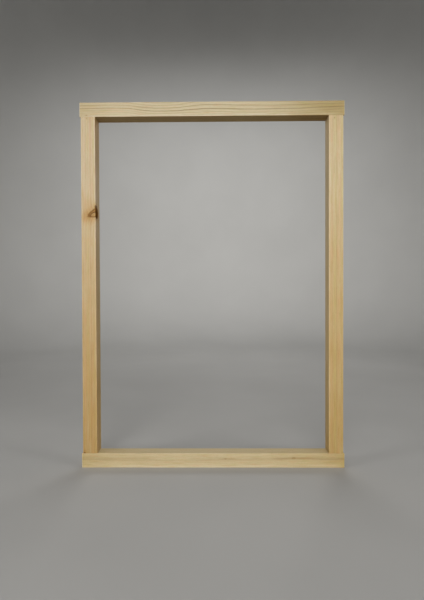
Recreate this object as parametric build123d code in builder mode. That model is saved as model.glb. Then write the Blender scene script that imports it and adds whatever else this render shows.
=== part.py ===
from build123d import *
import os

# A bare wooden screen printing frame: two rails laid over the ends of two
# stiles, every corner a plain butt joint closed by two countersunk screws.
# It hangs upright. X runs across it, Y from front to back, Z up. The origin
# is the middle of the top rail's underside, where a wall screw carries it.
# All sizes are in millimetres.

frame_width = 500.0  # over the outer faces of the two stiles
frame_height = 700.0  # over the top and bottom rails
lath = 27.5  # side of the square planed lath
rail_overhang = 2.0  # how far each rail end stands past its stile
edge_radius = 1.0  # easing on the long edges of every lath

screw_length = 60.0
screw_head_radius = 4.0
screw_rim = 0.3  # cylindrical edge of the head
screw_shank_radius = 1.45
screw_shank_length = 24.0  # head and plain shank together
screw_thread_radius = 2.0
screw_tip_length = 5.0
drive_width = 4.4  # across the wings of the cross recess
drive_wing = 1.0
drive_depth = 2.2
drive_taper = 8.0

screw_spread = 6.0  # each screw's distance from the lath's middle, in X and Y
head_sink = 0.3  # heads lie this far below the wood
head_gap = 0.05
shank_hole_radius = 2.25  # clearance hole through the rail
pilot_gap = 0.05  # radial, between the thread and its hole in the stile
pilot_extra = 1.0  # the pilot hole runs this far past the screw's tip

rail_length = frame_width + 2 * rail_overhang
stile_length = frame_height - 2 * lath
stile_x = frame_width / 2 - lath / 2
top_z = lath
middle_z = top_z - frame_height / 2
bottom_z = top_z - frame_height
rail_z = {"top_rail": top_z - lath / 2, "bottom_rail": bottom_z + lath / 2}
pilot_depth = screw_length + head_sink - lath + pilot_extra

# Each corner: the outward direction of its rail, its side, and the way the
# pair of screws is staggered so that they don't split one line of grain.
corners = {
    "top_left": (1, -1, 1),
    "top_right": (1, 1, -1),
    "bottom_left": (-1, -1, -1),
    "bottom_right": (-1, 1, 1),
}


def screw_points(side, stagger):
    """Middle of the front and the back screw of one corner, in X and Y."""
    front = (side * stile_x - stagger * screw_spread, -screw_spread)
    back = (side * stile_x + stagger * screw_spread, screw_spread)
    return {"front": front, "back": back}


def facing(x, y, z, up):
    """A plane at a point, looking up or down along Z."""
    return Plane(origin=(x, y, z), x_dir=(1, 0, 0), z_dir=(0, 0, up))


os.makedirs("parts", exist_ok=True)

# Rails: full width, with a countersunk clearance hole for each screw.
for name, centre_z in rail_z.items():
    with BuildPart() as rail:
        with BuildSketch(Plane.YZ.offset(-rail_length / 2)):
            with Locations((0, centre_z)):
                RectangleRounded(lath, lath, edge_radius)
        extrude(amount=rail_length)
        for corner, (up, side, stagger) in corners.items():
            if corner.split("_")[0] != name.split("_")[0]:
                continue
            seat_z = centre_z + up * (lath / 2 - head_sink - screw_rim)
            for x, y in screw_points(side, stagger).values():
                with Locations(facing(x, y, seat_z, up)):
                    CounterSinkHole(
                        radius=shank_hole_radius,
                        counter_sink_radius=screw_head_radius + head_gap,
                        depth=lath,
                        counter_sink_angle=90,
                    )
    rail.part.label = name
    export_step(rail.part, f"parts/{name}.step")

# Stiles: they stand between the rails, with pilot holes in their end grain.
for name, side in {"left_stile": -1, "right_stile": 1}.items():
    with BuildPart() as stile:
        with BuildSketch(Plane.XY.offset(bottom_z + lath)):
            with Locations((side * stile_x, 0)):
                RectangleRounded(lath, lath, edge_radius)
        extrude(amount=stile_length)
        for up, corner_side, stagger in corners.values():
            if corner_side != side:
                continue
            end_z = middle_z + up * stile_length / 2
            for x, y in screw_points(side, stagger).values():
                with Locations(facing(x, y, end_z, up)):
                    Hole(radius=screw_thread_radius + pilot_gap, depth=pilot_depth)
    stile.part.label = name
    export_step(stile.part, f"parts/{name}.step")

# Screws: one node each, driven through the rail into the end of the stile.
for corner, (up, side, stagger) in corners.items():
    head_z = middle_z + up * (frame_height / 2 - head_sink)
    for place, (x, y) in screw_points(side, stagger).items():
        head_plane = facing(x, y, head_z, up)
        profile_plane = Plane(origin=(x, y, head_z), x_dir=(1, 0, 0), z_dir=(0, -up, 0))
        cone_end = screw_head_radius - screw_shank_radius + screw_rim
        with BuildPart() as screw:
            with BuildSketch(profile_plane):
                with BuildLine():
                    Polyline(
                        (0, 0),
                        (screw_head_radius, 0),
                        (screw_head_radius, -screw_rim),
                        (screw_shank_radius, -cone_end),
                        (screw_shank_radius, -screw_shank_length),
                        (screw_thread_radius, -screw_shank_length - 1),
                        (screw_thread_radius, screw_tip_length - screw_length),
                        (0, -screw_length),
                        close=True,
                    )
                make_face()
            revolve(axis=Axis((x, y, head_z), (0, 0, up)))
            with BuildSketch(head_plane):
                Rectangle(drive_width, drive_wing)
                Rectangle(drive_wing, drive_width)
            extrude(amount=-drive_depth, taper=drive_taper, mode=Mode.SUBTRACT)
        name = f"screw_{corner}_{place}"
        screw.part.label = name
        export_step(screw.part, f"parts/{name}.step")
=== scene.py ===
import math

import bmesh
import bpy
from mathutils import Matrix, Vector, noise


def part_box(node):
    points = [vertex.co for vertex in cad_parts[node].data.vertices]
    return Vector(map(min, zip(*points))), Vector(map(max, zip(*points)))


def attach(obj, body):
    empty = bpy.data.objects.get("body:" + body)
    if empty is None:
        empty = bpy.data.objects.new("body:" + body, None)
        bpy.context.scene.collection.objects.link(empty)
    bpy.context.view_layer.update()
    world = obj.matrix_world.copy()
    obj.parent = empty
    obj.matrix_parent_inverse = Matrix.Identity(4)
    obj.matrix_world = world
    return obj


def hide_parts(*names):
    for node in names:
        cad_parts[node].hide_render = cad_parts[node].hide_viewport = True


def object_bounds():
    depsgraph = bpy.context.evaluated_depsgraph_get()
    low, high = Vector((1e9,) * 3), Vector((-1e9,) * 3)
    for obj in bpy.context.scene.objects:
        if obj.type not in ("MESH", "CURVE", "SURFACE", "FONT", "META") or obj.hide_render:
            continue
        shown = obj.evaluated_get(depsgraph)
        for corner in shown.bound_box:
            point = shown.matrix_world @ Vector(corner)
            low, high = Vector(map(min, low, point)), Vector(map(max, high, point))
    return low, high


# A bare wooden screen printing frame: four planed pine laths and eight wood screws.
# Blender works in metres, and the wood materials work in millimetres.

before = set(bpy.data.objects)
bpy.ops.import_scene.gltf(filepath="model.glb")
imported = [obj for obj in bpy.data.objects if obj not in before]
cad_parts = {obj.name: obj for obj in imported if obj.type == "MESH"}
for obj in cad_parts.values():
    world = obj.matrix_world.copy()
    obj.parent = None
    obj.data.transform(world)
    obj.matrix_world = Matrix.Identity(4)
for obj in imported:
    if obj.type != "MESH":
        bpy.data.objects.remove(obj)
cad_low, cad_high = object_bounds()

MM = 0.001
X = Vector((1, 0, 0))
Y = Vector((0, 1, 0))
Z = Vector((0, 0, 1))

RAILS = ("top_rail", "bottom_rail")
STILES = ("left_stile", "right_stile")
SCREWS = sorted(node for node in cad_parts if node.startswith("screw_"))


def node_middle(node):
    low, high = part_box(node)
    return (low + high) / 2


def node_size(node):
    low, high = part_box(node)
    return high - low


FRAME_MIDDLE = (cad_low + cad_high) / 2
SCREW_LENGTH = node_size(SCREWS[0]).z


# ---------------------------------------------------------------- camera

CAMERA_BACK = 0.778  # from the frame's front face
CAMERA_ASIDE = 0.0071
CAMERA_DROP = 0.0178  # below the frame's middle
LOOK_ASIDE = -0.00978  # the view's turn, as metres aside and up for each metre ahead
LOOK_UP = -0.01248
CAMERA_ROLL = math.radians(-0.2066)
LENS = 24.42  # millimetres, as the sensor's longer side is
SENSOR_SIDE = 36.0
CLIP_END = 50.0


def make_camera():
    spot = Vector((CAMERA_ASIDE, cad_low.y - CAMERA_BACK, FRAME_MIDDLE.z - CAMERA_DROP))
    look = Vector((LOOK_ASIDE, 1.0, LOOK_UP))
    data = bpy.data.cameras.new("camera")
    data.lens = LENS
    data.sensor_width = SENSOR_SIDE
    data.clip_end = CLIP_END
    camera = bpy.data.objects.new("camera", data)
    turn = look.to_track_quat("-Z", "Y").to_matrix().to_4x4()
    camera.matrix_world = Matrix.Translation(spot) @ turn @ Matrix.Rotation(CAMERA_ROLL, 4, "Z")
    bpy.context.scene.collection.objects.link(camera)
    bpy.context.scene.camera = camera


# ---------------------------------------------------------------- mesh tools

SHARP_ANGLE = math.radians(32)


def shade(mesh):
    """Smooth shading, with a sharp edge wherever two faces meet at more than the sharp angle."""
    for face in mesh.polygons:
        face.use_smooth = True
    mesh.set_sharp_from_angle(angle=SHARP_ANGLE)


def new_object(name, bm):
    mesh = bpy.data.meshes.new(name)
    bm.to_mesh(mesh)
    bm.free()
    shade(mesh)
    piece = bpy.data.objects.new(name, mesh)
    bpy.context.scene.collection.objects.link(piece)
    return piece


def round_ring(bm, spot, up, depth, radii):
    """A ring of vertices at a depth below the spot, with one radius for each vertex."""
    ring = []
    for i, radius in enumerate(radii):
        angle = math.tau * i / len(radii)
        offset = Vector((math.cos(angle) * radius, up * math.sin(angle) * radius, -up * depth))
        ring.append(bm.verts.new(spot + offset))
    return ring


def bridge(bm, rings):
    """Quads between neighbouring closed rings of vertices."""
    for ring, after in zip(rings, rings[1:]):
        for i in range(len(ring)):
            j = (i + 1) % len(ring)
            bm.faces.new((ring[i], ring[j], after[j], after[i]))


def close(bm, rings):
    """A closed solid: the rings bridged, with a face on the first and the last."""
    bridge(bm, rings)
    bm.faces.new(rings[0])
    bm.faces.new(rings[-1])


def cut(piece, bm):
    """Takes the closed shapes in bm out of the piece."""
    bmesh.ops.recalc_face_normals(bm, faces=bm.faces)
    cutter = new_object(piece.name + "_cutter", bm)
    step = piece.modifiers.new("cut", "BOOLEAN")
    step.operation = "DIFFERENCE"
    step.solver = "EXACT"
    step.object = cutter
    graph = bpy.context.evaluated_depsgraph_get()
    result = bpy.data.meshes.new_from_object(piece.evaluated_get(graph))
    if not result.polygons:
        raise ValueError(piece.name + " was cut away")
    piece.modifiers.clear()
    piece.data = result
    result.name = piece.name
    shade(result)
    bpy.data.objects.remove(cutter)


# ---------------------------------------------------------------- laths

EDGE_RADIUS = 1.0 * MM
EDGE_WEAR = 0.28  # how much the easing varies along an edge
WEAR_RATE = 28  # changes per metre
WEAR_APART = 7.3  # sets each edge's wear apart from the next edge's
PLANER_WAVE = 0.02 * MM  # how deep the faces' slow waviness is
WAVE_RATE = 60  # changes per metre, along a lath
WAVE_RATE_ROUND = 90  # and round it
SIDE_STEPS = 10
CORNER_STEPS = 4
STATION = 2.5 * MM  # from one ring of vertices to the next
END_EASE = 0.18 * MM
JOINT_GAP = 0.05 * MM


def edge_radius(place, corner, seed):
    """The easing of one long edge at a place along the lath."""
    wear = noise.noise(Vector((place * WEAR_RATE, corner * WEAR_APART, seed)))
    return EDGE_RADIUS * (1 + EDGE_WEAR * wear)


def planed_off(place, spot, seed):
    """How far below its true plane a planed face lies."""
    across, depth = spot * WAVE_RATE_ROUND
    wave = noise.noise(Vector((place * WAVE_RATE, across, depth + seed)))
    return PLANER_WAVE * (0.5 + 0.5 * wave)


def lath_ring(side, place, inset, seed):
    """Points round a lath's section, as (across, depth), at a place along it."""
    corners = [Vector(corner) for corner in ((1, 1), (-1, 1), (-1, -1), (1, -1))]
    radii = [edge_radius(place, k, seed) for k in range(4)]
    points = []
    for k, corner in enumerate(corners):
        start = math.atan2(corner.y, corner.x) - math.pi / 4
        for i in range(CORNER_STEPS + 1):
            angle = start + math.pi / 2 * i / CORNER_STEPS
            out = Vector((math.cos(angle), math.sin(angle)))
            here = corner * (side / 2 - radii[k]) + out * radii[k]
            points.append((here, out))
        after = (k + 1) % 4
        there = corners[after] * (side / 2 - radii[after]) + out * radii[after]
        for i in range(1, SIDE_STEPS):
            points.append((here.lerp(there, i / SIDE_STEPS), out))
    return [spot - out * (inset + planed_off(place, spot, seed)) for spot, out in points]


def make_lath(node, along, across, trim=0.0):
    """A planed square lath with eased long edges and sawn ends, in the CAD node's place."""
    middle = node_middle(node)
    size = node_size(node)
    length = size.dot(along) - 2 * trim
    seed = sum(ord(letter) for letter in node)
    stations = round(length / STATION)
    places = [-length / 2, -length / 2 + END_EASE]
    places += [-length / 2 + length * i / stations for i in range(1, stations)]
    places += [length / 2 - END_EASE, length / 2]
    bm = bmesh.new()
    rings = []
    for place in places:
        inset = END_EASE if place in (places[0], places[-1]) else 0.0
        spot = middle + along * place
        section = lath_ring(size.y, place, inset, seed)
        rings.append([bm.verts.new(spot + across * point.x + Y * point.y) for point in section])
    close(bm, rings)
    bmesh.ops.recalc_face_normals(bm, faces=bm.faces)
    return new_object(node + "_wood", bm)


# Two hollows in the left stile: its chipped foot, and the knot's pocket, where bark has gone.
# Sizes are half sizes along X, Y and Z. The chip is measured from the stile's lowest corner,
# and the pocket from its middle.
CHIP_PLACE = Vector((3.3, 0, 0)) * MM
CHIP_SIZE = Vector((2.0, 1.2, 2.4)) * MM
CHIP_DETAIL = 4
POCKET_PLACE = Vector((14.5, -7.2, 139.4)) * MM
POCKET_SIZE = Vector((2.3, 6.6, 8.2)) * MM
POCKET_DETAIL = 5
RAGGED = ((0.4, 1.9), (0.15, 6.0))  # the lumps' heights, and how closely they lie


def break_away(piece, spot, size, detail):
    """A ragged hollow where wood or bark has broken away."""
    bm = bmesh.new()
    bmesh.ops.create_icosphere(bm, subdivisions=detail, radius=1.0)
    for vert in bm.verts:
        swell = 1 + sum(height * noise.noise(vert.co * rate) for height, rate in RAGGED)
        vert.co = spot + vert.co * swell * size
    cut(piece, bm)


# ---------------------------------------------------------------- screws

# An outline is (radius, depth below the screw's head) points.
HEAD_RADIUS = 4.0 * MM
HEAD_RIM = 0.3 * MM  # how deep the rim goes before the countersunk cone starts
HEAD_EASE = 0.1 * MM
HEAD_OUTLINE = ((HEAD_RADIUS - HEAD_EASE, 0.0), (HEAD_RADIUS, HEAD_EASE), (HEAD_RADIUS, HEAD_RIM))
SHANK_RADIUS = 1.45 * MM
THREAD_CORE = 1.3 * MM
THREAD_RADIUS = 2.0 * MM
THREAD_PITCH = 1.8 * MM
THREAD_FOOT = 0.45  # of the pitch
THREAD_START = 24.0 * MM
TIP_LENGTH = 6.0 * MM
SCREW_STEPS = 32
SCREW_STATIONS = 300
RECESS_WIDTH = 4.4 * MM
RECESS_WING = 1.0 * MM
RECESS_DEPTH = 2.2 * MM
RECESS_TAPER = 0.62
RECESS_ABOVE = 0.5 * MM  # the cutter starts this far above the head

HOLE_GAP = 0.05 * MM
HOLE_STEPS = 40
HOLE_ABOVE = 1.5 * MM
SEAT_RADIUS = HEAD_RADIUS + HOLE_GAP
SHANK_HOLE = 2.25 * MM
SHANK_HOLE_END = 30 * MM  # past the rail's inner face
PILOT_HOLE = THREAD_RADIUS + HOLE_GAP
PILOT_START = 20 * MM  # outside the stile's end
PILOT_POINT = 0.2 * MM
PILOT_TAPER = 3 * MM
PILOT_EXTRA = 1.0 * MM

RAIL_HOLE = (
    (SEAT_RADIUS, -HOLE_ABOVE),
    (SEAT_RADIUS, HEAD_RIM),
    (SHANK_HOLE, HEAD_RIM + SEAT_RADIUS - SHANK_HOLE),
    (SHANK_HOLE, SHANK_HOLE_END),
)
STILE_HOLE = (
    (PILOT_HOLE, PILOT_START),
    (PILOT_HOLE, SCREW_LENGTH - PILOT_TAPER),
    (PILOT_POINT, SCREW_LENGTH + PILOT_EXTRA),
)


def screw_place(node):
    """The middle of a screw's head, and the way it faces: 1 is up and -1 is down."""
    low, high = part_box(node)
    up = 1 if "top" in node else -1
    spot = (low + high) / 2
    spot.z = high.z if up > 0 else low.z
    return spot, up


def screws_in(lath):
    """The screws that hold a lath, found by the first word of its name."""
    word = lath.split("_")[0]
    return [screw for screw in SCREWS if word in screw]


def drill(piece, outline, screws):
    """Drills one round hole for each screw."""
    bm = bmesh.new()
    for screw in screws:
        spot, up = screw_place(screw)
        close(bm, [round_ring(bm, spot, up, depth, [radius] * HOLE_STEPS) for radius, depth in outline])
    cut(piece, bm)


def thread_radius(depth, turn):
    """Radius of the screw at a depth below its head and a share of a turn round it."""
    if depth < THREAD_START:
        return SHANK_RADIUS
    taper = min(1.0, math.sqrt((SCREW_LENGTH - depth) / TIP_LENGTH))
    off_crest = abs(((depth / THREAD_PITCH - turn) % 1.0) - 0.5) * 2
    crest = max(0.0, 1 - off_crest / THREAD_FOOT)
    rise = min(1.0, (depth - THREAD_START) / THREAD_PITCH)
    return (THREAD_CORE + (THREAD_RADIUS - THREAD_CORE) * crest * rise) * taper


def sink_recess(piece, spot, up):
    """Sinks a tapered cross into the screw's head."""
    reach = RECESS_WIDTH / 2
    wing = RECESS_WING / 2
    outline = []
    for k in range(4):
        turn = Matrix.Rotation(math.pi / 2 * k, 2)
        outline += [turn @ Vector(point) for point in ((reach, wing), (wing, wing), (wing, reach))]
    bm = bmesh.new()
    rings = []
    for share, depth in ((1.0, -RECESS_ABOVE), (1.0, 0.0), (RECESS_TAPER, RECESS_DEPTH)):
        level = spot - Z * up * depth
        rings.append([bm.verts.new(level + (point * share).to_3d()) for point in outline])
    close(bm, rings)
    cut(piece, bm)


def make_screw(node):
    """A countersunk wood screw with a real thread and a cross recess."""
    spot, up = screw_place(node)
    neck = HEAD_RADIUS - SHANK_RADIUS + HEAD_RIM
    bm = bmesh.new()
    rings = []
    for radius, depth in HEAD_OUTLINE:
        rings.append(round_ring(bm, spot, up, depth, [radius] * SCREW_STEPS))
    for station in range(SCREW_STATIONS):
        depth = neck + (SCREW_LENGTH - neck) * station / SCREW_STATIONS
        radii = [thread_radius(depth, i / SCREW_STEPS) for i in range(SCREW_STEPS)]
        rings.append(round_ring(bm, spot, up, depth, radii))
    bridge(bm, rings)
    bm.faces.new(rings[0])
    tip = bm.verts.new(spot - Z * up * SCREW_LENGTH)
    for i in range(SCREW_STEPS):
        bm.faces.new((rings[-1][i], rings[-1][(i + 1) % SCREW_STEPS], tip))
    bmesh.ops.recalc_face_normals(bm, faces=bm.faces)
    piece = new_object(node + "_steel", bm)
    sink_recess(piece, spot, up)
    return piece


# ---------------------------------------------------------------- node tools

LEAST_SPREAD = 1e-6  # stands for a level curve's spread, which is 0


class Tree:
    """Short names for shader nodes. A value is a socket, a number or a vector."""

    def __init__(self, name):
        self.material = bpy.data.materials.new(name)
        self.material.use_nodes = True
        self.nodes = self.material.node_tree.nodes
        self.links = self.material.node_tree.links
        self.shader = self.nodes["Principled BSDF"]

    def feed(self, node, values):
        """Links sockets to a node's inputs, and sets the inputs whose values are plain."""
        for key, value in values.items():
            if isinstance(value, bpy.types.NodeSocket):
                self.links.new(value, node.inputs[key])
            else:
                node.inputs[key].default_value = value

    def node(self, kind, values, **settings):
        node = self.nodes.new(kind)
        for key, value in settings.items():
            setattr(node, key, value)
        self.feed(node, values)
        return node

    def math(self, operation, *values, clamp=False):
        values = dict(enumerate(values))
        return self.node("ShaderNodeMath", values, operation=operation, use_clamp=clamp).outputs[0]

    def add(self, a, b):
        return self.math("ADD", a, b)

    def sub(self, a, b):
        return self.math("SUBTRACT", a, b)

    def mul(self, a, b):
        return self.math("MULTIPLY", a, b)

    def total(self, *parts):
        """The sum of parts, each given as (value, weight)."""
        result = 0.0
        for value, weight in parts:
            result = self.add(result, self.mul(value, weight))
        return result

    def place(self):
        return self.node("ShaderNodeTexCoord", {}).outputs["Object"]

    def vector(self, operation, *values):
        node = self.node("ShaderNodeVectorMath", dict(enumerate(values)), operation=operation)
        return node.outputs["Value"] if operation in ("DOT_PRODUCT", "LENGTH") else node.outputs[0]

    def scale(self, vector, factor):
        values = {0: vector, "Scale": factor}
        return self.node("ShaderNodeVectorMath", values, operation="SCALE").outputs[0]

    def combine(self, x, y, z):
        return self.node("ShaderNodeCombineXYZ", {0: x, 1: y, 2: z}).outputs[0]

    def separate(self, vector):
        return self.node("ShaderNodeSeparateXYZ", {0: vector}).outputs

    def noise(self, vector, scale, detail=2.0, roughness=0.5):
        values = {"Vector": vector, "Scale": scale, "Detail": detail, "Roughness": roughness}
        return self.node("ShaderNodeTexNoise", values).outputs["Fac"]

    def sway(self, vector, scale, size, **look):
        """Noise that sways about 0, by up to half the size."""
        return self.mul(self.sub(self.noise(vector, scale, **look), 0.5), size)

    def step(self, value, low, high):
        """0 below low, 1 above high, smooth between. With low above high it is the reverse."""
        values = {"Value": value, "From Min": low, "From Max": high}
        return self.node("ShaderNodeMapRange", values, interpolation_type="SMOOTHSTEP").outputs[0]

    def hump(self, value, middle, width):
        """1 at the middle, fading to 0 a few widths away."""
        off = self.math("DIVIDE", self.sub(value, middle), width)
        return self.math("EXPONENT", self.mul(self.mul(off, off), -1.0))

    def curve(self, value, points, kind="AUTO"):
        """A curve through (value, result) points, level beyond them. VECTOR makes its runs straight."""
        first, last = points[0][0], points[-1][0]
        low = min(result for place, result in points)
        spread = max(result for place, result in points) - low or LEAST_SPREAD
        share = self.node("ShaderNodeMapRange", {"Value": value, "From Min": first, "From Max": last})
        node = self.node("ShaderNodeFloatCurve", {"Value": share.outputs[0]})
        bends = node.mapping.curves[0].points
        while len(bends) < len(points):
            bends.new(0.5, 0.5)
        for bend, (place, result) in zip(bends, points):
            bend.location = ((place - first) / (last - first), (result - low) / spread)
            bend.handle_type = kind
        node.mapping.update()
        return self.add(self.mul(node.outputs[0], spread), low)

    def ramp(self, value, stops):
        """A straight ramp through (value, colour) stops."""
        node = self.node("ShaderNodeValToRGB", {0: value})
        for element, (place, colour) in zip(node.color_ramp.elements, stops):
            element.position = place
            element.color = (*colour, 1.0)
        return node.outputs[0]

    def mix(self, factor, a, b, blend="MIX"):
        a, b = (side if isinstance(side, bpy.types.NodeSocket) else (*side, 1.0) for side in (a, b))
        values = {0: factor, 6: a, 7: b}
        return self.node("ShaderNodeMix", values, data_type="RGBA", blend_type=blend).outputs[2]

    def tint(self, factor, colour, by):
        """A colour, multiplied by another one as far as the factor says."""
        return self.mix(factor, colour, by, "MULTIPLY")

    def bump(self, height, distance, strength):
        values = {"Height": height, "Distance": distance, "Strength": strength}
        return self.node("ShaderNodeBump", values).outputs[0]


def srgb(red, green, blue):
    """A colour given as 0 to 255 screen values, as the linear values that nodes take."""

    def linear(value):
        value /= 255
        return value / 12.92 if value <= 0.04045 else ((value + 0.055) / 1.055) ** 2.4

    return (linear(red), linear(green), linear(blue))


# ---------------------------------------------------------------- wood

# Each lath comes from another place in a log. Distances are millimetres from the lath's
# middle: run goes along it, across goes along +X in a stile and +Z in a rail, and depth
# goes along +Y, so the front face is at depth -HALF. What changes along the lath is a
# curve of (run, value) points.
#   seed      sets the lath's noise apart from the other laths'
#   inward    the side that faces the opening, 1 or -1 across, and inner_shade says how much
#             painted shade darkens and warms that side
#   pith      the middle of the log, as (across, depth), and wander says how far it sways
#   line      one growth ring's course along the front face, as (run, across), and tight
#             says how closely the rings lie there
#   rings     (distance from that ring, strength), from the pith outwards
#   contrast  how dark the late wood is
#   early     the colour of early wood, late of late wood, and falloff_colour a darker, yellower
#             early wood, painted shade where the light falls off, as far as falloff says
#   rosy      how pink the wood is just before late wood
#   bands     (across, width, tint) of bands along the lath; a pale one by an arris is painted highlight
#   knots     the spot and direction of a branch's axis, as (run, across, depth), with its
#             radius there and the slope of its cone
#   pins      a pin knot's (run, across, radius) on the front face
#   marks     a small stain's (run, across, radius, strength of its dark middle) there
HALF = node_size("left_stile").y / MM / 2

PINK = (1.035, 0.95, 0.955)
STRAW = (0.985, 1.01, 0.91)
# Painted highlight: a pale band along an arris, for light caught on it.
ARRIS_HIGHLIGHT = (1.12, 1.15, 1.26)
DULL = (0.86, 0.84, 0.80)

WOOD = {
    "top_rail": dict(
        seed=3.0, pith=(-62.0, 30.0), wander=0.8,
        inward=-1, inner_shade=((-252, 1.0), (252, 1.0)),
        line=(
            (-252, 2.2), (-222, 2.6), (-195, 2.8), (-166, 2.4), (-150, 1.0), (-137, -0.9),
            (-118, -2.8), (-95, -3.6), (-72, -3.2), (-48, -1.6), (-24, -0.2), (0, 0.8),
            (70, -1.0), (144, -0.5), (213, 1.9), (252, 2.8),
        ),
        tight=((-252, 1.05), (-72, 1.05), (-20, 0.8), (120, 0.85), (252, 1.0)),
        rings=(
            (-30, 0.4), (-24, 0.4), (-19, 0.4), (-14.5, 0.3), (-10.6, 0.25), (-7.0, 0.3),
            (-3.8, 0.35), (0, 1.0), (5.0, 0.6), (9.6, 0.4), (14, 0.5), (19, 0.5), (25, 0.5),
        ),
        contrast=((-252, 0.85), (-160, 0.85), (-130, 1.1), (-70, 1.1), (-20, 1.0), (252, 1.0)),
        early=srgb(202, 190, 160), late=srgb(134, 118, 80), falloff_colour=srgb(175, 157, 112),
        falloff=((-252, 0.4), (-150, 0.0), (60, 0.0), (200, 0.8), (252, 1.0)),
        rosy=((-252, 1.1), (-160, 1.0), (-110, 0.3), (252, 0.15)),
        bands=((-12.3, 1.8, ARRIS_HIGHLIGHT),),
        knots=(),
        pins=(),
        marks=((-239.0, -11.0, 1.0, 0.35),),
    ),
    "bottom_rail": dict(
        seed=11.0, pith=(-40.0, 70.0), wander=2.0,
        inward=1, inner_shade=((-252, 0.0), (252, 0.0)),
        line=((-252, 3.3), (-200, 1.5), (-120, 1.4), (0, 2.2), (120, 3.9), (252, 3.6)),
        tight=((-252, 2.6), (-210, 1.0), (252, 1.0)),
        rings=(
            (-26, 0.4), (-20.5, 0.5), (-15, 0.4), (-10, 0.5), (-5, 0.4),
            (0, 0.7), (4.6, 0.4), (10, 0.5), (16, 0.4), (22, 0.5),
        ),
        contrast=((-252, 0.6), (-200, 0.25), (0, 0.2), (150, 0.25), (252, 0.45)),
        early=srgb(203, 188, 152), late=srgb(154, 128, 86), falloff_colour=srgb(182, 157, 92),
        falloff=((-252, 0.5), (-150, 0.1), (90, 0.1), (252, 0.95)),
        rosy=((-252, 0.4), (252, 0.4)),
        bands=((-11.4, 2.8, ARRIS_HIGHLIGHT), (4.0, 3.0, DULL)),
        knots=(),
        pins=((155.0, 4.8, 1.9), (24.0, 3.4, 1.0)),
        marks=(),
    ),
    "left_stile": dict(
        seed=23.0, pith=(-31.0, -2.0), wander=1.2,
        inward=1, inner_shade=((-336, 0.0), (0, 0.1), (200, 0.5), (300, 1.0), (336, 1.0)),
        line=((-336, 4.0), (336, 5.0)),
        tight=((-336, 1.0), (336, 1.0)),
        rings=(
            (-22, 0.5), (-17.5, 0.6), (-13, 0.4), (-8.6, 0.6), (-4.4, 0.5),
            (0, 0.9), (5, 0.5), (9.4, 0.6), (14, 0.5), (19, 0.5),
        ),
        contrast=((-336, 0.5), (336, 0.35)),
        early=srgb(201, 186, 157), late=srgb(160, 126, 82), falloff_colour=srgb(183, 154, 100),
        falloff=((-336, 1.0), (-120, 0.75), (80, 0.35), (260, 0.0), (336, 0.15)),
        rosy=((-336, 0.6), (336, 0.6)),
        bands=(
            (4.7, 2.6, PINK), (-8.2, 2.2, PINK), (-1.5, 2.2, STRAW), (10.0, 1.8, STRAW),
            (12.8, 1.2, ARRIS_HIGHLIGHT),
        ),
        knots=(((139.7, HALF, -7.5), (0.363, 0.926, -0.103), 10.07, 0.159),),
        pins=(),
        marks=(
            # The second mark darkens the chipped corner at the stile's foot.
            (319.6, -1.9, 1.0, 0.35), (-321.6, -10.4, 1.5, 0.85), (-317.0, -10.2, 1.3, 0.1),
            (152.0, -2.0, 6.0, 0.0), (131.0, -5.0, 4.0, 0.0), (151.5, 13.4, 2.0, 0.8),
            (127.0, 4.5, 3.4, 0.0),
        ),
    ),
    "right_stile": dict(
        seed=37.0, pith=(34.0, 40.0), wander=1.5,
        inward=-1, inner_shade=((-336, 0.0), (0, 0.0), (200, 0.15), (300, 0.45), (336, 0.6)),
        line=((-336, 2.0), (0, 0.0), (336, 1.0)),
        tight=((-336, 1.0), (336, 1.0)),
        rings=(
            (-22, 0.5), (-17.6, 0.6), (-13.4, 0.4), (-9, 0.6), (-4.2, 0.4),
            (0, 0.8), (4.6, 0.5), (8.8, 0.6), (13, 0.5), (18, 0.5),
        ),
        contrast=((-336, 0.5), (336, 0.35)),
        early=srgb(205, 191, 158), late=srgb(164, 132, 88), falloff_colour=srgb(186, 160, 106),
        falloff=((-336, 1.0), (-120, 0.8), (80, 0.45), (240, 0.1), (336, 0.35)),
        rosy=((-336, 0.5), (336, 0.5)),
        bands=(
            (5.5, 2.6, PINK), (-2.0, 2.4, STRAW), (-8.5, 2.2, PINK), (10.5, 2.0, STRAW),
            (-12.8, 1.2, ARRIS_HIGHLIGHT),
        ),
        knots=(),
        pins=(),
        marks=((317.5, -3.1, 1.2, 0.35),),
    ),
}

# Tints that the wood's colour is multiplied by.
ROSY = (1.01, 0.92, 0.88)
BLUSH = (1.03, 0.95, 0.93)
SALLOW = (0.95, 0.97, 0.88)
STREAK = (0.87, 0.82, 0.75)
FIBRE = (0.80, 0.73, 0.64)
# Painted shade on the face towards the opening: the top rail's underside and the stiles' inner faces.
INNER_FACE_SHADE = (0.73, 0.58, 0.36)
STAIN = (0.90, 0.79, 0.62)
HALO = (0.90, 0.78, 0.58)
# Painted highlights on the rails' tips and on the eased arrises.
TIP_HIGHLIGHT = (1.05, 1.10, 1.22)
EDGE_HIGHLIGHT = (1.16, 1.18, 1.26)
OPEN_PORES = (0.52, 0.42, 0.30)
CLOSED_PORES = (0.78, 0.68, 0.55)

# Colours that cover the wood's own.
RESIN = srgb(126, 88, 48)
MARK = srgb(92, 64, 36)
PIN_STAIN = srgb(170, 136, 84)
PIN_WOOD = srgb(158, 132, 84)
PIN_RIM = srgb(120, 92, 52)
BARK = srgb(101, 60, 0)
KNOT_EDGE = srgb(116, 78, 32)
KNOT_HEART = srgb(180, 148, 98)
KNOT_WOOD = srgb(156, 118, 64)
KNOT_RING = srgb(96, 56, 20)

# The knot's sound middle, given as one more branch.
KNOT_CORE = ((135.4, 10.6, -HALF), (0.36, 0.68, -0.64), 5.0, 0.1)

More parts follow.
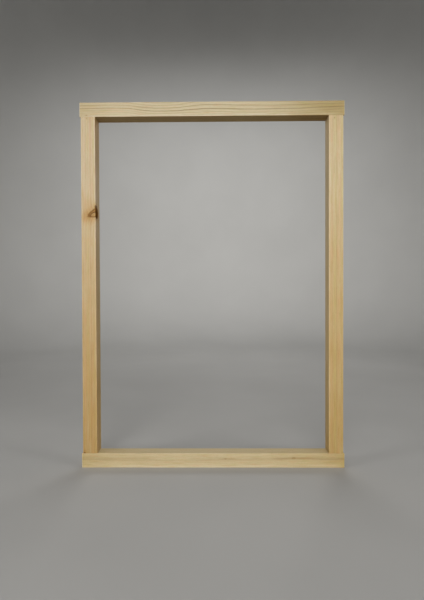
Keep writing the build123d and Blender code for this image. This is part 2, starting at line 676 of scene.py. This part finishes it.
LEAST_BRANCH = 0.3  # the radius at which a branch's cone stops narrowing
FRONT_DEPTH = 8.0  # how far in front of a lath's middle its front stains reach full strength
LINE_FADE = 0.3  # how much weaker the line's bends are at the lath's middle
LATE_AT = 0.93  # how far through a ring its listed distance falls
PIN_STRETCH = 2.0  # how many times longer than wide a pin knot or a mark is
TAIL_STRETCH = 14.3  # the same for the streak of stain beside a pin knot
TAIL_AWAY = 10  # radii from the pin knot to the middle of its streak
PLANER_PITCH = 2.6  # from one ripple to the next
BUMP_HEIGHT = 0.06 * MM  # in metres, as the shader takes it
BUMP_STRENGTH = 0.8
ROUGH = 0.60  # the wood's roughness, before its fibres, ends and other parts change it
SHINE = 0.2  # its specular level


class Pine(Tree):
    """One lath's wood, with a spot's place in that lath, in millimetres."""

    def __init__(self, node, along):
        super().__init__("pine_" + node)
        self.spec = WOOD[node]
        self.seed = self.spec["seed"]
        from_middle = self.vector("SUBTRACT", self.place(), node_middle(node))
        x, y, z = self.separate(self.scale(from_middle, 1 / MM))
        self.run, self.across, self.depth = (x, z, y) if along == X else (z, x, y)
        self.spot = self.combine(self.run, self.across, self.depth)
        self.front = self.step(self.depth, 0.0, -FRONT_DEPTH)

    def at_run(self, name):
        """The value of one of the lath's curves at the spot's run."""
        return self.curve(self.run, self.spec[name])

    def grain(self, share):
        """The spot with its run cut to a share, so that noise there is drawn out along the lath."""
        return self.combine(self.mul(self.run, share), self.across, self.depth)

    def near_side(self, value, half, start, end):
        """0 further than start inside either side of the lath, and 1 nearer to it than end."""
        return self.step(self.math("ABSOLUTE", value), half - start, half - end)


def branch(wood, knot):
    """A spot's distance from a branch's axis, as a share of the branch's radius there."""
    centre, axis, radius, slope = knot
    axis = Vector(axis).normalized()
    away = wood.vector("SUBTRACT", wood.spot, centre)
    reach = wood.vector("DOT_PRODUCT", away, axis)
    off = wood.vector("LENGTH", wood.vector("SUBTRACT", away, wood.scale(axis, reach)))
    wide = wood.math("MAXIMUM", wood.add(wood.mul(reach, slope), radius), LEAST_BRANCH)
    return wood.math("DIVIDE", off, wide)


def pin(wood, run, across, radius, stretch=PIN_STRETCH):
    """A spot's distance from a small long mark on the front face, as a share of its radius."""
    away_run = wood.mul(wood.sub(wood.run, run), 1 / stretch)
    away = wood.combine(away_run, wood.sub(wood.across, across), 0.0)
    return wood.math("DIVIDE", wood.vector("LENGTH", away), radius)


def push(wood, share, most, fade):
    """How far a knot pushes the rings outwards: most at its edge, and less further off."""
    outside = wood.math("MAXIMUM", wood.sub(share, 1.0), 0.0)
    return wood.mul(wood.math("EXPONENT", wood.mul(outside, -fade)), most)


def ring_swell(wood):
    """How far all the knots together push the rings outwards."""
    swell = 0.0
    for knot in wood.spec["knots"]:
        swell = wood.add(swell, push(wood, branch(wood, knot), most=5.0, fade=2.2))
    for place in wood.spec["pins"]:
        most = wood.mul(wood.front, 1.2)
        swell = wood.add(swell, push(wood, pin(wood, *place), most=most, fade=0.8))
    return swell


def rings(wood):
    """How far a spot is through its growth ring, 0 to 1, and how strong the ring is."""
    pith_across, pith_depth = wood.spec["pith"]
    wander = wood.spec["wander"]
    stray = wood.sway(wood.combine(wood.run, wood.seed, 0.0), scale=0.012, size=wander)
    lean = wood.sway(wood.combine(wood.run, 0.0, wood.seed), scale=0.010, size=wander)
    fade = wood.sub(1 - LINE_FADE, wood.mul(wood.depth, LINE_FADE / HALF))
    course = wood.add(wood.mul(wood.at_run("line"), fade), stray)
    from_line = wood.mul(wood.sub(wood.across, course), wood.at_run("tight"))
    from_pith_depth = wood.sub(wood.add(wood.depth, lean), pith_depth)
    from_pith = wood.combine(wood.sub(from_line, pith_across), from_pith_depth, 0.0)
    line_radius = math.hypot(pith_across, pith_depth + HALF)
    away = wood.sub(wood.sub(wood.vector("LENGTH", from_pith), ring_swell(wood)), line_radius)
    ragged = wood.sway(wood.grain(0.05), scale=0.4, size=0.9, detail=4.0, roughness=0.6)
    counts = [(place, i) for i, (place, strength) in enumerate(wood.spec["rings"])]
    count = wood.add(wood.curve(wood.add(away, ragged), counts, "VECTOR"), LATE_AT)
    strengths = [(i, strength) for i, (place, strength) in enumerate(wood.spec["rings"])]
    strength = wood.curve(wood.math("FLOOR", count), strengths, "VECTOR")
    return wood.math("FRACT", count), strength


def late_wood(wood, share, strength):
    """How much late wood is at a spot: it comes slowly, then sharply, and ends with the ring."""
    slow = wood.math("POWER", wood.step(share, 0.25, 0.95), 2.0)
    sharp = wood.step(share, 0.74, 0.92)
    late = wood.total((slow, 0.4), (sharp, 0.6))
    late = wood.mul(late, wood.sub(1.0, wood.step(share, 0.955, 1.0)))
    late = wood.mul(wood.mul(late, strength), wood.at_run("contrast"))
    return wood.math("MINIMUM", late, 1.0)


def early_wood(wood):
    """Early wood's colour: a slow drift along the lath into a darker, yellower painted shade, with soft
    bands, the pale ones painted highlight, and patches.
    """
    run, across = wood.run, wood.across
    depth = wood.add(wood.depth, wood.seed)
    clouds = wood.noise(wood.combine(wood.mul(run, 0.15), across, depth), scale=0.10, detail=3.0)
    # Painted shade: early wood turns darker and yellower towards the frame's corners and down the
    # stiles, where the light falls off.
    falloff = wood.mul(wood.at_run("falloff"), wood.add(wood.mul(clouds, 0.9), 0.55))
    colour = wood.mix(wood.math("MINIMUM", falloff, 1.0), wood.spec["early"], wood.spec["falloff_colour"])
    for place, width, tint in wood.spec["bands"]:
        course = wood.sway(wood.combine(run, place, wood.seed), scale=0.008, size=5.0)
        band = wood.hump(wood.sub(across, course), place, width)
        # Painted highlight bands run unbroken; the wood's own bands break up.
        if tint != ARRIS_HIGHLIGHT:
            breaks = wood.noise(wood.combine(wood.mul(run, 0.2), place, wood.seed), scale=0.06)
            band = wood.mul(band, wood.step(breaks, 0.3, 0.6))
        colour = wood.tint(band, colour, tint)
    patches = wood.noise(wood.combine(wood.mul(run, 0.12), across, depth), scale=0.35)
    colour = wood.tint(wood.step(patches, 0.5, 0.7), colour, BLUSH)
    patches = wood.combine(wood.mul(run, 0.10), wood.depth, wood.add(across, wood.seed))
    return wood.tint(wood.step(wood.noise(patches, scale=0.42), 0.5, 0.7), colour, SALLOW)


def resin_canals(wood, share):
    """Short dark dashes in the outer part of a ring."""
    cells = wood.node("ShaderNodeTexVoronoi", {"Vector": wood.grain(0.09), "Scale": 0.85})
    dash = wood.step(cells.outputs["Distance"], 0.16, 0.08)
    chosen = wood.step(wood.separate(cells.outputs["Color"])[0], 0.6, 0.7)
    return wood.mul(wood.mul(dash, chosen), wood.step(share, 0.3, 0.7))


def pin_colour(wood, colour, run, across, radius):
    """A pin knot with its streak of stain."""
    front = wood.front
    tail = pin(wood, run + TAIL_AWAY * radius, across, radius, stretch=TAIL_STRETCH)
    colour = wood.mix(wood.mul(wood.mul(wood.step(tail, 1.3, 0.3), front), 0.45), colour, PIN_STAIN)
    share = pin(wood, run, across, radius)
    colour = wood.mix(wood.mul(wood.step(share, 1.3, 0.6), wood.mul(front, 0.6)), colour, PIN_WOOD)
    rim = wood.hump(share, middle=0.8, width=0.25)
    return wood.mix(wood.mul(rim, wood.mul(front, 0.25)), colour, PIN_RIM)


def mark_colour(wood, colour, run, across, radius, strength):
    """A soft stain, with a dark middle as strong as asked."""
    share = pin(wood, run, across, radius)
    stain = wood.mul(wood.step(share, 2.6, 0.6), wood.mul(wood.front, 0.45))
    dark = wood.mul(wood.step(share, 1.0, 0.5), wood.mul(wood.front, strength))
    return wood.mix(dark, wood.tint(stain, colour, STAIN), MARK)


def knot_colour(wood, colour, knot):
    """A branch that breaks out on the inner arris, half loose in bark. Returns the bark too."""
    ragged = wood.sway(wood.spot, scale=0.5, size=0.26, detail=4.0)
    share = wood.add(branch(wood, knot), ragged)
    halo = wood.math("POWER", wood.step(share, 2.8, 1.0), 1.5)
    colour = wood.tint(wood.mul(halo, 0.9), colour, HALO)

    core = wood.add(branch(wood, KNOT_CORE), ragged)
    layers = wood.math("SINE", wood.mul(core, 19.0))
    heart = wood.mix(wood.add(wood.mul(layers, 0.25), 0.25), KNOT_HEART, KNOT_WOOD)
    inside = wood.mix(wood.step(core, 0.85, 1.05), heart, KNOT_WOOD)
    inside = wood.mix(wood.hump(core, middle=0.98, width=0.16), inside, KNOT_RING)
    cracks = wood.noise(wood.vector("MULTIPLY", wood.spot, (0.5, 1.6, 1.6)), scale=0.9, detail=3.0)
    inside = wood.mix(wood.mul(wood.step(cracks, 0.56, 0.62), 0.45), inside, KNOT_RING)
    colour = wood.mix(wood.step(share, 1.04, 0.94), colour, inside)
    rim = wood.hump(share, middle=0.96, width=0.11)
    colour = wood.mix(wood.mul(rim, 0.85), colour, KNOT_EDGE)

    arris = wood.step(wood.across, HALF - 1.05, HALF - 0.25)
    behind_face = wood.step(wood.depth, 0.35 - HALF, 0.85 - HALF)
    pocket = wood.mul(wood.step(wood.across, HALF - 2.55, HALF - 2.15), behind_face)
    bark = wood.mul(wood.math("MAXIMUM", arris, pocket), wood.step(share, 1.14, 0.82))
    return wood.mix(wood.mul(bark, 0.92), colour, BARK), bark


def relief(wood, late, fibres, canal, end):
    """Raised late wood, open fibres, the planer's ripples and, on the ends, the saw's marks."""
    ripple = wood.math("SINE", wood.mul(wood.run, math.tau / PLANER_PITCH))
    saw_lines = wood.combine(wood.mul(wood.across, 3.0), wood.mul(wood.depth, 0.15), wood.seed)
    kerf = wood.mul(wood.noise(saw_lines, scale=1.0, detail=3.0), end)
    height = wood.total((late, 0.12), (fibres, 0.8), (canal, -0.5), (ripple, 0.08), (kerf, 3.0))
    return wood.bump(height, BUMP_HEIGHT, BUMP_STRENGTH)


def make_wood(node, along):
    """Pine as a solid: growth rings round the pith, fibres along the lath, knots and end grain."""
    wood = Pine(node, along)

    share, strength = rings(wood)
    late = late_wood(wood, share, strength)
    rosy = wood.mul(wood.hump(share, middle=0.70, width=0.22), strength)
    rosy = wood.math("MINIMUM", wood.mul(rosy, wood.at_run("rosy")), 1.0)
    colour = wood.tint(rosy, early_wood(wood), ROSY)
    colour = wood.mix(late, colour, wood.spec["late"])

    # Fibres: long soft streaks, short fine ones, and the dark dashes of resin canals.
    streaks = wood.noise(wood.grain(0.025), scale=0.8, detail=4.0, roughness=0.65)
    fibres = wood.noise(wood.grain(0.04), scale=4.5, detail=4.0, roughness=0.7)
    canal = resin_canals(wood, share)
    colour = wood.tint(wood.step(streaks, 0.44, 0.72), colour, STREAK)
    colour = wood.tint(wood.step(fibres, 0.45, 0.8), colour, FIBRE)
    colour = wood.mix(wood.mul(canal, 0.5), colour, RESIN)

    # Painted shade: the face towards the opening is painted darker and warmer, as far as the lath's
    # curve says, for the shade that falls there.
    inward = wood.step(wood.mul(wood.across, wood.spec["inward"]), HALF - 0.7, HALF - 0.1)
    colour = wood.tint(wood.mul(inward, wood.at_run("inner_shade")), colour, INNER_FACE_SHADE)

    for place in wood.spec["pins"]:
        colour = pin_colour(wood, colour, *place)
    for place in wood.spec["marks"]:
        colour = mark_colour(wood, colour, *place)
    bark = 0.0
    for knot in wood.spec["knots"]:
        colour, bark = knot_colour(wood, colour, knot)

    # Painted highlight: the eased arrises, a little smoother, and the rails' tips are painted paler,
    # for light caught there, and the sawn ends drink light.
    normal = wood.node("ShaderNodeNewGeometry", {}).outputs["Normal"]
    end = wood.step(wood.math("ABSOLUTE", wood.vector("DOT_PRODUCT", normal, along)), 0.88, 0.98)
    edge = wood.mul(
        wood.near_side(wood.across, HALF, start=1.5, end=0.5),
        wood.near_side(wood.depth, HALF, start=1.5, end=0.5),
    )
    if node in RAILS:
        half_length = node_size(node).x / MM / 2
        tip = wood.near_side(wood.run, half_length, start=1.8, end=0.4)
        tip = wood.mul(tip, wood.sub(1.0, end))
        edge = wood.math("MAXIMUM", edge, tip)
        colour = wood.tint(tip, colour, TIP_HIGHLIGHT)
    colour = wood.tint(wood.mul(edge, 0.8), colour, EDGE_HIGHLIGHT)
    pores = wood.noise(wood.grain(0.0), scale=5.0, detail=3.0, roughness=0.7)
    colour = wood.tint(end, colour, wood.mix(wood.step(pores, 0.4, 0.7), CLOSED_PORES, OPEN_PORES))

    rough = wood.total((fibres, 0.20), (late, -0.10), (edge, -0.06), (bark, 0.4), (end, 0.2))
    wood.feed(wood.shader, {
        "Base Color": colour,
        "Roughness": wood.math("ADD", rough, ROUGH, clamp=True),
        "Specular IOR Level": SHINE,
        "Normal": relief(wood, late, fibres, canal, end),
    })
    return wood.material


# ---------------------------------------------------------------- steel

TARNISH = (0.62, 0.60, 0.54)
ZINC = (0.74, 0.73, 0.70)
TARNISH_ROUGH = (0.42, 0.42, 0.42)
ZINC_ROUGH = (0.26, 0.26, 0.26)


def make_steel():
    """Bright zinc plate with a little tarnish."""
    tree = Tree("zinc_steel")
    cloud = tree.noise(tree.scale(tree.place(), 1 / MM), scale=0.6, detail=4.0)
    tree.feed(tree.shader, {
        "Base Color": tree.ramp(cloud, ((0.3, TARNISH), (0.7, ZINC))),
        "Roughness": tree.ramp(cloud, ((0.3, TARNISH_ROUGH), (0.7, ZINC_ROUGH))),
        "Metallic": 1.0,
    })
    return tree.material


# ---------------------------------------------------------------- stage

FLOOR_RADIUS = 2.6
FLOOR_TURN = 0.8  # radius of the bend from floor to wall
FLOOR_FLAT = FLOOR_RADIUS - FLOOR_TURN
FLOOR_INNER = (0.02, 0.8)  # radii of the two inner rings of vertices
FLOOR_STEPS = 96
TURN_STEPS = 12
WALL_HEIGHT = 3.2
FLOOR_SHADE = ((0.3, 0.42), (0.9, 0.48), (FLOOR_RADIUS, 0.80))  # (distance out, paleness)
FLOOR_BLUE = 0.985  # of its red and green
FLOOR_ROUGH = 0.8


def make_floor_paint():
    """A pale matt grey with faint clouds, paler towards the wall."""
    tree = Tree("pale_floor")
    reach = tree.vector("LENGTH", tree.vector("MULTIPLY", tree.place(), (1.0, 1.0, 0.0)))
    clouds = tree.sway(tree.place(), scale=3.0, size=0.08)
    pale = tree.add(tree.curve(reach, FLOOR_SHADE), clouds)
    tree.feed(tree.shader, {
        "Base Color": tree.combine(pale, pale, tree.mul(pale, FLOOR_BLUE)),
        "Roughness": FLOOR_ROUGH,
    })
    return tree.material


def make_stage():
    """A pale round floor that curves up into a pale wall."""
    outline = [(reach, 0.0) for reach in (*FLOOR_INNER, FLOOR_FLAT)]
    for i in range(1, TURN_STEPS + 1):
        angle = math.pi / 2 * i / TURN_STEPS
        outline.append((FLOOR_FLAT + FLOOR_TURN * math.sin(angle), FLOOR_TURN * (1 - math.cos(angle))))
    outline.append((FLOOR_RADIUS, WALL_HEIGHT))
    foot = Vector((FRAME_MIDDLE.x, FRAME_MIDDLE.y, cad_low.z))
    bm = bmesh.new()
    rings = [round_ring(bm, foot, 1, -rise, [reach] * FLOOR_STEPS) for reach, rise in outline]
    bridge(bm, rings)
    bm.faces.new(rings[0])
    bmesh.ops.recalc_face_normals(bm, faces=bm.faces)
    stage = new_object("floor", bm)
    stage.data.materials.append(make_floor_paint())


# Lights are soft rectangles, placed and aimed from the frame's middle. Their powers are watts.
LAMP = (1.0, 0.98, 0.95)
WALL_LAMP = (1.0, 0.99, 0.97)
NARROW = math.radians(70)
WIDE = math.radians(120)
WORLD_STRENGTH = 0.06


def area_light(name, spot, size, power, spread, tint=LAMP, target=(0.0, 0.0, 0.0)):
    data = bpy.data.lights.new(name, "AREA")
    data.shape = "RECTANGLE"
    data.size, data.size_y = size
    data.energy = power
    data.color = tint
    data.spread = spread
    light = bpy.data.objects.new(name, data)
    light.location = FRAME_MIDDLE + Vector(spot)
    light.rotation_euler = (Vector(target) - Vector(spot)).to_track_quat("-Z", "Y").to_euler()
    bpy.context.scene.collection.objects.link(light)


def make_lights():
    area_light("key", (-0.4, -2.2, 1.05), size=(1.0, 0.8), power=2.5, spread=NARROW)
    area_light("front", (0.0, -2.2, 0.4), size=(1.2, 0.5), power=3.7, spread=NARROW)
    for side, power in ((-1, 2.7), (1, 2.3)):
        area_light("side", (1.4 * side, -0.7, 0.42), size=(0.5, 0.5), power=power, spread=WIDE)
    area_light("back", (0.3, 1.6, 1.3), size=(1.2, 0.8), power=5.0, spread=WIDE)
    for side in (-1, 1):
        spot = (0.0, 1.2 * side, 1.7)
        target = (0.0, FLOOR_RADIUS * side, 0.3)
        area_light("wall", spot, size=(1.6, 0.5), power=4.5, spread=WIDE, tint=WALL_LAMP, target=target)
    world = bpy.data.worlds.new("studio")
    world.use_nodes = True
    background = world.node_tree.nodes["Background"]
    background.inputs["Color"].default_value = (*LAMP, 1.0)
    background.inputs["Strength"].default_value = WORLD_STRENGTH
    bpy.context.scene.world = world
    bpy.context.scene.view_settings.view_transform = "Standard"


# ---------------------------------------------------------------- assembly


def take_place(piece, node, material):
    """Gives a piece its material, and puts it in its CAD node's place."""
    piece.data.materials.clear()
    piece.data.materials.append(material)
    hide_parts(node)
    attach(piece, "root")


make_camera()

for rail in RAILS:
    lath = make_lath(rail, X, Z)
    drill(lath, RAIL_HOLE, screws_in(rail))
    take_place(lath, rail, make_wood(rail, X))

for stile in STILES:
    lath = make_lath(stile, Z, X, trim=JOINT_GAP)
    drill(lath, STILE_HOLE, screws_in(stile))
    if stile == "left_stile":
        lowest_corner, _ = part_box(stile)
        break_away(lath, lowest_corner + CHIP_PLACE, CHIP_SIZE, CHIP_DETAIL)
        break_away(lath, node_middle(stile) + POCKET_PLACE, POCKET_SIZE, POCKET_DETAIL)
    take_place(lath, stile, make_wood(stile, Z))

steel = make_steel()
for screw in SCREWS:
    take_place(make_screw(screw), screw, steel)

make_stage()
make_lights()
